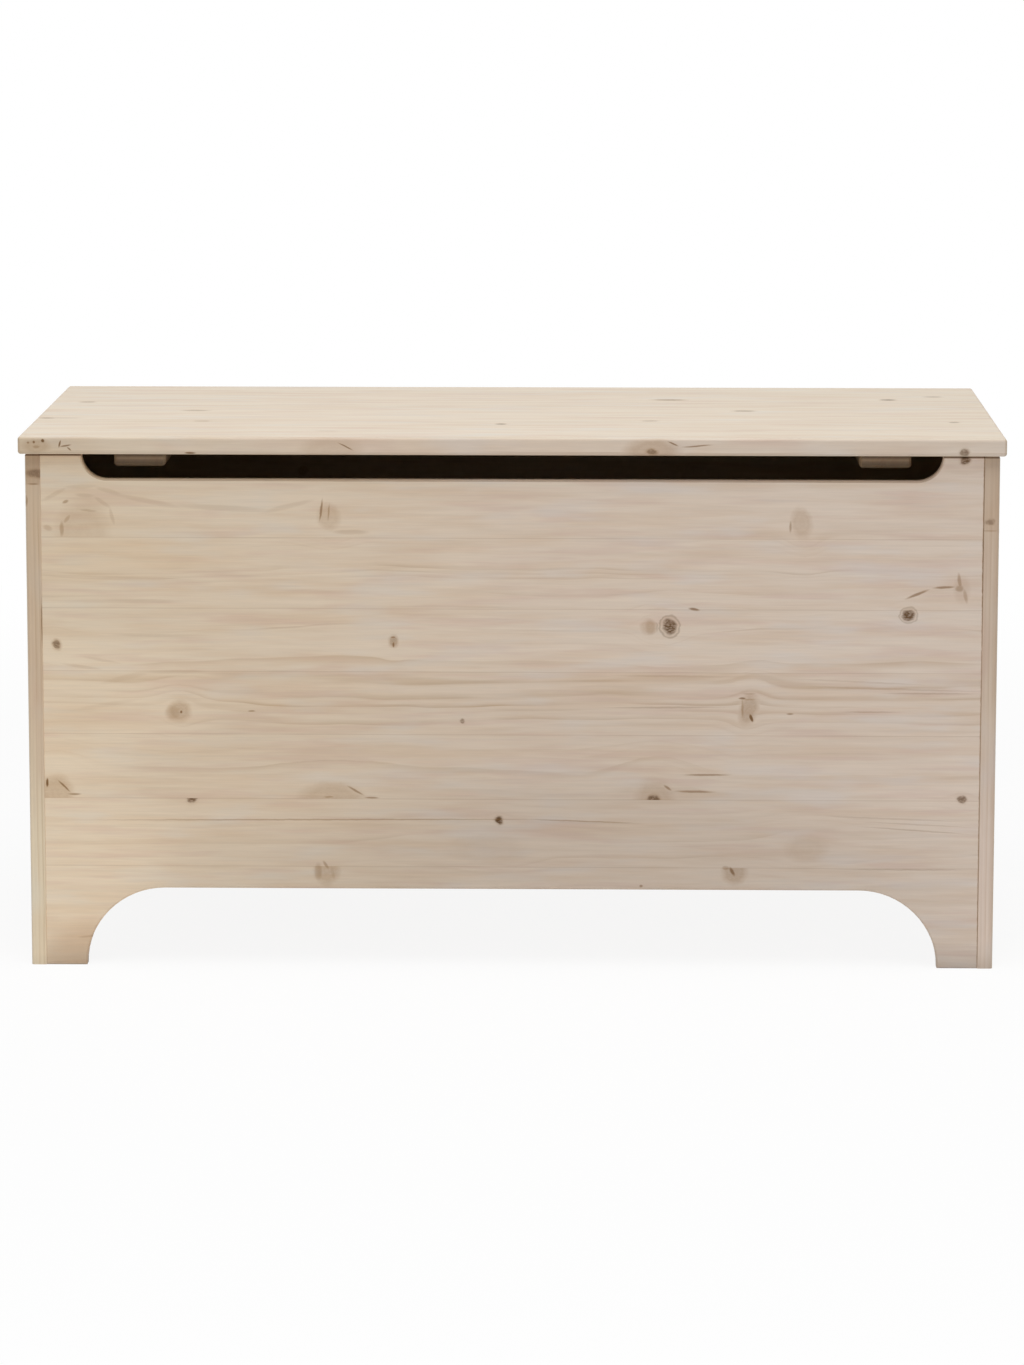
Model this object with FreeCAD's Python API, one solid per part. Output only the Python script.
import FreeCAD, Part
import math
import os

# A lidded storage box of pine boards, in millimetres.
# X runs along the box, the front faces -Y and +Z is up. The origin lies on the floor
# under the middle of the lid.

# Whole box
lid_width = 840.0
lid_depth = 420.0
box_height = 460.0

# Lid board. It stands past the body on every side, furthest at the back, where the
# overhang covers the hinge barrels and stops the open lid against the back panel.
lid_thickness = 15.0
lid_side_overhang = 5.0
lid_front_overhang = 8.0
lid_rear_overhang = 18.0
lid_edge_radius = 2.5
lid_gap = 0.3

# Body boards. The front and back panels stand between the side panels.
front_thickness = 13.0
back_thickness = 13.0
side_thickness = 13.0
board_edge_chamfer = 1.2
corner_edge_radius = 2.5
joint_easing = 0.5

# Feet and arches. The arch ends are quarter circles as tall as the arch.
foot_width = 48.0
side_foot_width = 54.0
arch_height = 68.0

# Grip slot in the front panel's top edge. Its ends are quarter circles as tall as the slot.
slot_end_distance = 48.0
slot_depth = 22.0

# Bottom panel and the cleats that carry it
bottom_thickness = 10.0
bottom_clearance = 1.0
cleat_height = 20.0
cleat_thickness = 18.0
cleat_rise = 8.0
cleat_edge_radius = 1.5

# Battens that keep the lid flat
batten_width = 44.0
batten_thickness = 13.0
batten_end_distance = 79.5
batten_clearance = 6.0
batten_edge_chamfer = 2.0

# Butt hinges. Both leaves lie folded in a notch of the back panel's top edge.
hinge_length = 50.0
hinge_end_distance = 150.0
hinge_leaf_width = 12.5
hinge_leaf_thickness = 1.2
hinge_leaf_corner = 1.5
hinge_pin_radius = 1.3
hinge_pin_head = 0.8
hinge_pin_head_radius = 2.0
hinge_pin_clearance = 0.05
hinge_end_clearance = 0.1
hinge_running_gap = 0.2
hinge_notch_clearance = 0.3
hinge_wall_clearance = 0.3
hinge_lid_clearance = 0.15
hinge_knuckles = 5

# Countersunk screws: shank and head radius, and the lengths that aren't worked out
small_screw_radius = 1.5
small_screw_head_radius = 2.6
large_screw_radius = 2.0
large_screw_head_radius = 4.0
screw_hole_clearance = 0.1
screw_point = 3.0
screw_point_radius = 0.3
screw_cover = 3.0
hinge_screw_spacing = 17.0
corner_screw_length = 50.0

# Dowels in the corner joints
dowel_radius = 3.0
dowel_length = 30.0
dowel_cover = 5.0
dowel_chamfer = 0.8
dowel_clearance = 0.1
dowel_end_clearance = 1.0

# Flat sides round each screw, dowel and hole. Few of them keep the whole model light.
fastener_sides = 8

# Places along a piece, as shares of its length
corner_screw_height_shares = (0.12, 0.88)
corner_dowel_height_shares = (0.36, 0.64)
batten_screw_length_shares = (0.1, 0.5, 0.9)
long_cleat_screw_shares = (0.08, 0.5, 0.92)
short_cleat_screw_shares = (0.15, 0.85)

# How far a cutting shape runs past the face that it opens
overrun = 5.0

# Places worked out from the sizes above
body_width = lid_width - 2 * lid_side_overhang
body_front = lid_front_overhang - lid_depth / 2
body_back = lid_depth / 2 - lid_rear_overhang
body_depth = body_back - body_front
lid_underside = box_height - lid_thickness
body_height = lid_underside - lid_gap
inside_width = body_width - 2 * side_thickness
inside_front = body_front + front_thickness
inside_back = body_back - back_thickness
cleat_bottom = arch_height + cleat_rise
cleat_top = cleat_bottom + cleat_height

barrel_radius = hinge_pin_radius + hinge_pin_clearance + hinge_leaf_thickness
leaf_outer_offset = barrel_radius + hinge_lid_clearance
leaf_inner_offset = leaf_outer_offset - hinge_leaf_thickness
hinge_axis_y = body_back + barrel_radius + hinge_wall_clearance
hinge_axis_z = lid_underside - leaf_outer_offset
hinge_places = (hinge_end_distance - body_width / 2, body_width / 2 - hinge_end_distance)
hinge_screw_length = lid_thickness - screw_cover + hinge_leaf_thickness
batten_screw_length = batten_thickness + lid_thickness - screw_cover
front_cleat_screw_length = cleat_thickness + front_thickness - screw_cover
back_cleat_screw_length = cleat_thickness + back_thickness - screw_cover
side_cleat_screw_length = cleat_thickness + side_thickness - screw_cover

LEFT = FreeCAD.Vector(-1, 0, 0)
RIGHT = FreeCAD.Vector(1, 0, 0)
FRONT = FreeCAD.Vector(0, -1, 0)
BACK = FreeCAD.Vector(0, 1, 0)
DOWN = FreeCAD.Vector(0, 0, -1)
UP = FreeCAD.Vector(0, 0, 1)


def block(low, high):
    """A box between its lowest and its highest corner."""
    size = [b - a for a, b in zip(low, high)]
    return Part.makeBox(*size, FreeCAD.Vector(*low))


def aimed(shape, place, direction):
    """A shape made along -Z from the origin, moved to a place and turned to a direction."""
    turn = FreeCAD.Rotation(DOWN, direction)
    moved = shape.copy()
    moved.Placement = FreeCAD.Placement(place, turn)
    return moved


def ring(radius, height):
    """The corners of a regular polygon about the Z axis."""
    angles = [2 * math.pi * (index + 0.5) / fastener_sides for index in range(fastener_sides)]
    return [FreeCAD.Vector(radius * math.cos(a), radius * math.sin(a), height) for a in angles]


def many_sided(sections):
    """The flat-sided solid through a list of (radius, height) sections about the Z axis."""
    rings = [ring(radius, height) for radius, height in sections]
    outlines = [rings[0], rings[-1]]
    for upper, lower in zip(rings, rings[1:]):
        outlines += [[upper[i - 1], upper[i], lower[i], lower[i - 1]] for i in range(fastener_sides)]
    faces = [Part.Face(Part.makePolygon(outline + outline[:1])) for outline in outlines]
    return Part.makeSolid(Part.makeShell(faces))


def edges_where(shape, test):
    """The edges whose two ends both pass a test."""
    return [edge for edge in shape.Edges if all(test(vertex.Point) for vertex in edge.Vertexes)]


def at(value, place):
    """Whether a coordinate lies on a plane."""
    return abs(value - place) < joint_easing / 10


def screw(length, radius, head_radius):
    """A countersunk screw along -Z, its flat head at the origin."""
    neck = head_radius - radius
    return many_sided([
        (head_radius, 0),
        (radius, -neck),
        (radius, screw_point - length),
        (screw_point_radius, -length),
    ])


def screw_hole(length, radius, head_radius):
    """The countersunk hole that a screw fills, with its clearance."""
    neck = head_radius - radius
    hole_radius = radius + screw_hole_clearance
    mouth_radius = head_radius + screw_hole_clearance + overrun
    end = -length - screw_hole_clearance
    return many_sided([(mouth_radius, overrun), (hole_radius, -neck), (hole_radius, end)])


def small_screw(length):
    return screw(length, small_screw_radius, small_screw_head_radius)


def small_hole(length):
    return screw_hole(length, small_screw_radius, small_screw_head_radius)


def large_screw(length):
    return screw(length, large_screw_radius, large_screw_head_radius)


def large_hole(length):
    return screw_hole(length, large_screw_radius, large_screw_head_radius)


def at_places(shape, places):
    """Copies of a shape at each of a list of (place, direction) pairs."""
    return [aimed(shape, place, direction) for place, direction in places]


# Where the fasteners lie: lists of (place, direction)

def corner_places(height_shares, side):
    """Places on a side panel's outer face, opposite the edges of the front and back panels."""
    x = side.x * body_width / 2
    free_height = body_height - slot_depth - arch_height
    heights = [arch_height + share * free_height for share in height_shares]
    rows = (body_front + front_thickness / 2, body_back - back_thickness / 2)
    return [(FreeCAD.Vector(x, y, z), -side) for y in rows for z in heights]


def corner_dowel_places(side):
    """Where each corner dowel's outer end lies, inside the side panel."""
    faces = corner_places(corner_dowel_height_shares, side)
    return [(place - side * dowel_cover, direction) for place, direction in faces]


def hinge_screw_places(leaf):
    """Screw places on a leaf's inner face: +1 for the lid's leaves, -1 for the body's."""
    y = body_back - hinge_leaf_width / 2
    z = hinge_axis_z + leaf * leaf_inner_offset
    steps = (-hinge_screw_spacing, 0, hinge_screw_spacing)
    return [(FreeCAD.Vector(x + step, y, z), UP * leaf) for x in hinge_places for step in steps]


def batten_centre(side):
    return side.x * (lid_width / 2 - batten_end_distance - batten_width / 2)


def batten_screw_places(side):
    """Screw places on a batten's underside."""
    front = inside_front + batten_clearance
    length = inside_back - batten_clearance - front
    z = lid_underside - batten_thickness
    x = batten_centre(side)
    ys = [front + share * length for share in batten_screw_length_shares]
    return [(FreeCAD.Vector(x, y, z), UP) for y in ys]


def long_cleat_screw_places(direction):
    """Screw places on the inner face of the front or the back cleat."""
    wall = inside_front if direction == FRONT else inside_back
    y = wall - direction.y * cleat_thickness
    z = (cleat_bottom + cleat_top) / 2
    xs = [inside_width * share - inside_width / 2 for share in long_cleat_screw_shares]
    return [(FreeCAD.Vector(x, y, z), direction) for x in xs]


def short_cleat_screw_places(side):
    """Screw places on the inner face of a side cleat."""
    x = side.x * (inside_width / 2 - cleat_thickness)
    z = (cleat_bottom + cleat_top) / 2
    front = inside_front + cleat_thickness
    length = inside_back - cleat_thickness - front
    ys = [front + share * length for share in short_cleat_screw_shares]
    return [(FreeCAD.Vector(x, y, z), side) for y in ys]


# Body

def arched_board(width, foot, thickness, slot_width):
    """An upright board from Y 0 backwards, centred on X: arched below, slotted above."""
    half = width / 2
    arch = half - foot
    slot = slot_width / 2

    def point(x, z):
        return FreeCAD.Vector(x, 0, z)

    def quarter(centre_x, centre_z, radius, x_sign, z_sign):
        """A quarter circle from beside its centre to above or below it, as three points."""
        slant = radius * 0.5 ** 0.5
        return [
            point(centre_x + x_sign * radius, centre_z),
            point(centre_x + x_sign * slant, centre_z + z_sign * slant),
            point(centre_x, centre_z + z_sign * radius),
        ]

    left_arch = quarter(arch_height - arch, 0, arch_height, -1, 1)
    right_arch = quarter(arch - arch_height, 0, arch_height, 1, 1)
    path = [
        [point(-half, 0), left_arch[0]],
        left_arch,
        [left_arch[2], right_arch[2]],
        right_arch[::-1],
        [right_arch[0], point(half, 0)],
        [point(half, 0), point(half, body_height)],
    ]
    if slot:
        right_slot = quarter(slot - slot_depth, body_height, slot_depth, 1, -1)
        left_slot = quarter(slot_depth - slot, body_height, slot_depth, -1, -1)
        path += [
            [point(half, body_height), right_slot[0]],
            right_slot,
            [right_slot[2], left_slot[2]],
            left_slot[::-1],
            [left_slot[0], point(-half, body_height)],
        ]
    else:
        path.append([point(half, body_height), point(-half, body_height)])
    path.append([point(-half, body_height), point(-half, 0)])
    edges = [Part.Arc(*p).toShape() if len(p) == 3 else Part.makeLine(*p) for p in path]
    return Part.Face(Part.Wire(edges)).extrude(BACK * thickness)


def along_faces(board):
    """The edges of a board's two broad faces."""
    return [edge for edge in board.Edges if at(edge.Vertexes[0].Point.y, edge.Vertexes[-1].Point.y)]


def uprights(board, width, face):
    """The long upright edges at a board's two ends, on one broad face."""
    ends = edges_where(board, lambda p: abs(p.x) > width / 2 - joint_easing and at(p.y, face))
    return [edge for edge in ends if edge.Length > arch_height]


def without(edges, left_out):
    return [edge for edge in edges if not any(edge.isSame(other) for other in left_out)]


def eased_board(width, foot, thickness, slot_width, joint_face):
    """A front or back board with chamfered outline edges and a small easing at its joints."""
    board = arched_board(width, foot, thickness, slot_width)
    ends = uprights(board, width, 0) + uprights(board, width, thickness)
    board = board.makeChamfer(board_edge_chamfer, without(along_faces(board), ends))
    return board.makeChamfer(joint_easing, uprights(board, width, joint_face))


def front_panel():
    slot_width = body_width - 2 * slot_end_distance
    board = eased_board(inside_width, foot_width - side_thickness, front_thickness, slot_width, 0)
    board.translate(FreeCAD.Vector(0, body_front, 0))
    cleat_holes = at_places(large_hole(front_cleat_screw_length), long_cleat_screw_places(FRONT))
    return board.cut(corner_holes() + cleat_holes)


def back_panel():
    foot = foot_width - side_thickness
    board = eased_board(inside_width, foot, back_thickness, 0, back_thickness)
    board.translate(FreeCAD.Vector(0, inside_back, 0))
    cleat_holes = at_places(large_hole(back_cleat_screw_length), long_cleat_screw_places(BACK))
    hinge_holes = at_places(small_hole(hinge_screw_length), hinge_screw_places(-1))
    notches = [hinge_notch(x) for x in hinge_places]
    return board.cut(corner_holes() + cleat_holes + hinge_holes + notches)


def hinge_notch(x):
    """The notch in the back panel's top edge that takes both folded leaves of one hinge."""
    half = hinge_length / 2 + hinge_notch_clearance
    return block(
        (x - half, inside_back - overrun, hinge_axis_z - leaf_outer_offset),
        (x + half, body_back + overrun, body_height + overrun),
    )


def side_panel(side):
    """A side panel, with its front and back edges in view and rounded outer corners."""
    board = arched_board(body_depth, side_foot_width, side_thickness, 0)
    outer_corners = edges_where(board, lambda p: at(abs(p.x), body_depth / 2) and at(p.y, 0))
    top = edges_where(board, lambda p: at(p.z, body_height) and at(p.y, 0))
    board = board.makeFillet(corner_edge_radius, outer_corners + top)
    reach = body_depth / 2 - side_foot_width + joint_easing
    spans = [(edge, edge.BoundBox) for edge in along_faces(board)]
    arch = [edge for edge, span in spans if span.XMin > -reach and span.XMax < reach]
    board = board.makeChamfer(board_edge_chamfer, arch)
    board = board.makeChamfer(joint_easing, uprights(board, body_depth, side_thickness))
    board.rotate(FreeCAD.Vector(), UP, 90 * side.x)
    board.translate(FreeCAD.Vector(side.x * body_width / 2, (body_front + body_back) / 2, 0))
    cleat_holes = at_places(large_hole(side_cleat_screw_length), short_cleat_screw_places(side))
    return board.cut(corner_holes() + cleat_holes)


def corner_holes():
    """Screw and dowel holes at all four corners."""
    dowel_hole = many_sided([
        (dowel_radius + dowel_clearance, dowel_end_clearance),
        (dowel_radius + dowel_clearance, -dowel_length - dowel_end_clearance),
    ])
    hole = large_hole(corner_screw_length)
    tools = []
    for side in (LEFT, RIGHT):
        tools += at_places(hole, corner_places(corner_screw_height_shares, side))
        tools += at_places(dowel_hole, corner_dowel_places(side))
    return tools


def corner_screws(side):
    places = corner_places(corner_screw_height_shares, side)
    return Part.makeCompound(at_places(large_screw(corner_screw_length), places))


def corner_dowels(side):
    dowel = many_sided([
        (dowel_radius - dowel_chamfer, 0),
        (dowel_radius, -dowel_chamfer),
        (dowel_radius, dowel_chamfer - dowel_length),
        (dowel_radius - dowel_chamfer, -dowel_length),
    ])
    return Part.makeCompound(at_places(dowel, corner_dowel_places(side)))


def bottom_panel():
    half = inside_width / 2 - bottom_clearance
    return block(
        (-half, inside_front + bottom_clearance, cleat_top),
        (half, inside_back - bottom_clearance, cleat_top + bottom_thickness),
    )


def long_cleat(near, far, exposed, holes):
    """A cleat along the front or the back panel, rounded along its exposed lower edge."""
    cleat = block((-inside_width / 2, near, cleat_bottom), (inside_width / 2, far, cleat_top))
    lower = edges_where(cleat, lambda p: at(p.y, exposed) and at(p.z, cleat_bottom))
    return cleat.makeFillet(cleat_edge_radius, lower).cut(holes)


def front_bottom_cleat():
    far = inside_front + cleat_thickness
    holes = at_places(large_hole(front_cleat_screw_length), long_cleat_screw_places(FRONT))
    return long_cleat(inside_front, far, far, holes)


def back_bottom_cleat():
    near = inside_back - cleat_thickness
    holes = at_places(large_hole(back_cleat_screw_length), long_cleat_screw_places(BACK))
    return long_cleat(near, inside_back, near, holes)


def side_bottom_cleat(side):
    """A cleat along a side panel, between the front and the back cleat."""
    outer = side.x * inside_width / 2
    inner = outer - side.x * cleat_thickness
    cleat = block(
        (min(outer, inner), inside_front + cleat_thickness, cleat_bottom),
        (max(outer, inner), inside_back - cleat_thickness, cleat_top),
    )
    lower = edges_where(cleat, lambda p: at(p.x, inner) and at(p.z, cleat_bottom))
    holes = at_places(large_hole(side_cleat_screw_length), short_cleat_screw_places(side))
    return cleat.makeFillet(cleat_edge_radius, lower).cut(holes)


def cleat_screws():
    screws = at_places(large_screw(front_cleat_screw_length), long_cleat_screw_places(FRONT))
    screws += at_places(large_screw(back_cleat_screw_length), long_cleat_screw_places(BACK))
    for side in (LEFT, RIGHT):
        screws += at_places(large_screw(side_cleat_screw_length), short_cleat_screw_places(side))
    return Part.makeCompound(screws)


# Hinges

def along_x(radius, start, end, x):
    """A cylinder on the hinge axis between two places along X, counted from a hinge's middle."""
    foot = FreeCAD.Vector(x + start, hinge_axis_y, hinge_axis_z)
    return Part.makeCylinder(radius, end - start, foot, RIGHT)


def knuckle_spans(leaf):
    """Where one leaf's knuckles begin and end. The body's leaf has the outermost two."""
    pitch = hinge_length / hinge_knuckles
    first = 1 if leaf > 0 else 0
    gap = hinge_running_gap / 2
    starts = [index * pitch - hinge_length / 2 for index in range(first, hinge_knuckles, 2)]
    return [(start + gap, start + pitch - gap) for start in starts]


def hinge_leaf(x, leaf):
    """One leaf with its knuckles: +1 for the lid's, -1 for the body's."""
    faces = sorted((hinge_axis_z + leaf * leaf_inner_offset, hinge_axis_z + leaf * leaf_outer_offset))
    inner_edge = body_back - hinge_leaf_width
    plate = block(
        (x - hinge_length / 2, inner_edge, faces[0]),
        (x + hinge_length / 2, body_back, faces[1]),
    )
    inner_edges = edges_where(plate, lambda p: at(p.y, inner_edge))
    corners = [edge for edge in inner_edges if at(edge.Length, hinge_leaf_thickness)]
    plate = plate.makeFillet(hinge_leaf_corner, corners)
    pieces = []
    for start, end in knuckle_spans(leaf):
        tongue = block((x + start, body_back, faces[0]), (x + end, hinge_axis_y, faces[1]))
        pieces += [tongue, along_x(barrel_radius, start, end, x)]
    whole = plate.fuse(pieces).removeSplitter()
    bore = along_x(hinge_pin_radius + hinge_pin_clearance, -hinge_length, hinge_length, x)
    return whole.cut([bore] + at_places(small_hole(hinge_screw_length), hinge_screw_places(leaf)))


def hinge_pin(x):
    """A pin with a low head at each end."""
    half = hinge_length / 2 + hinge_end_clearance
    heads = [
        along_x(hinge_pin_head_radius, -half - hinge_pin_head, -half, x),
        along_x(hinge_pin_head_radius, half, half + hinge_pin_head, x),
    ]
    return along_x(hinge_pin_radius, -half, half, x).fuse(heads)


def hinge_screws(leaf):
    return Part.makeCompound(at_places(small_screw(hinge_screw_length), hinge_screw_places(leaf)))


# Lid

def lid_panel():
    board = block(
        (-lid_width / 2, -lid_depth / 2, lid_underside),
        (lid_width / 2, lid_depth / 2, box_height),
    )
    board = board.makeFillet(lid_edge_radius, board.Edges)
    tools = at_places(small_hole(hinge_screw_length), hinge_screw_places(1))
    for side in (LEFT, RIGHT):
        tools += at_places(large_hole(batten_screw_length), batten_screw_places(side))
    return board.cut(tools)


def lid_batten(side):
    """A batten under the lid, chamfered on every edge but those that meet the lid."""
    x = batten_centre(side)
    batten = block(
        (x - batten_width / 2, inside_front + batten_clearance, lid_underside - batten_thickness),
        (x + batten_width / 2, inside_back - batten_clearance, lid_underside),
    )
    meeting = edges_where(batten, lambda p: at(p.z, lid_underside))
    batten = batten.makeChamfer(batten_edge_chamfer, without(batten.Edges, meeting))
    return batten.cut(at_places(large_hole(batten_screw_length), batten_screw_places(side)))


def lid_batten_screws():
    places = batten_screw_places(LEFT) + batten_screw_places(RIGHT)
    return Part.makeCompound(at_places(large_screw(batten_screw_length), places))


def pieces():
    """Every piece by name."""
    named = {
        "front_panel": front_panel(),
        "back_panel": back_panel(),
        "bottom_panel": bottom_panel(),
        "front_bottom_cleat": front_bottom_cleat(),
        "back_bottom_cleat": back_bottom_cleat(),
        "cleat_screws": cleat_screws(),
        "lid_panel": lid_panel(),
        "lid_batten_screws": lid_batten_screws(),
        "hinge_body_screws": hinge_screws(-1),
        "hinge_lid_screws": hinge_screws(1),
    }
    for name, side, x in (("left", LEFT, hinge_places[0]), ("right", RIGHT, hinge_places[1])):
        named[name + "_side_panel"] = side_panel(side)
        named[name + "_bottom_cleat"] = side_bottom_cleat(side)
        named[name + "_corner_screws"] = corner_screws(side)
        named[name + "_corner_dowels"] = corner_dowels(side)
        named[name + "_lid_batten"] = lid_batten(side)
        named[name + "_hinge_body_leaf"] = hinge_leaf(x, -1)
        named[name + "_hinge_lid_leaf"] = hinge_leaf(x, 1)
        named[name + "_hinge_pin"] = hinge_pin(x)
    return named


os.makedirs("parts", exist_ok=True)
for name, shape in pieces().items():
    shape.exportStep(os.path.join("parts", name + ".step"))
    print(name, "solids", len(shape.Solids), "valid", shape.isValid(), "volume", round(shape.Volume))
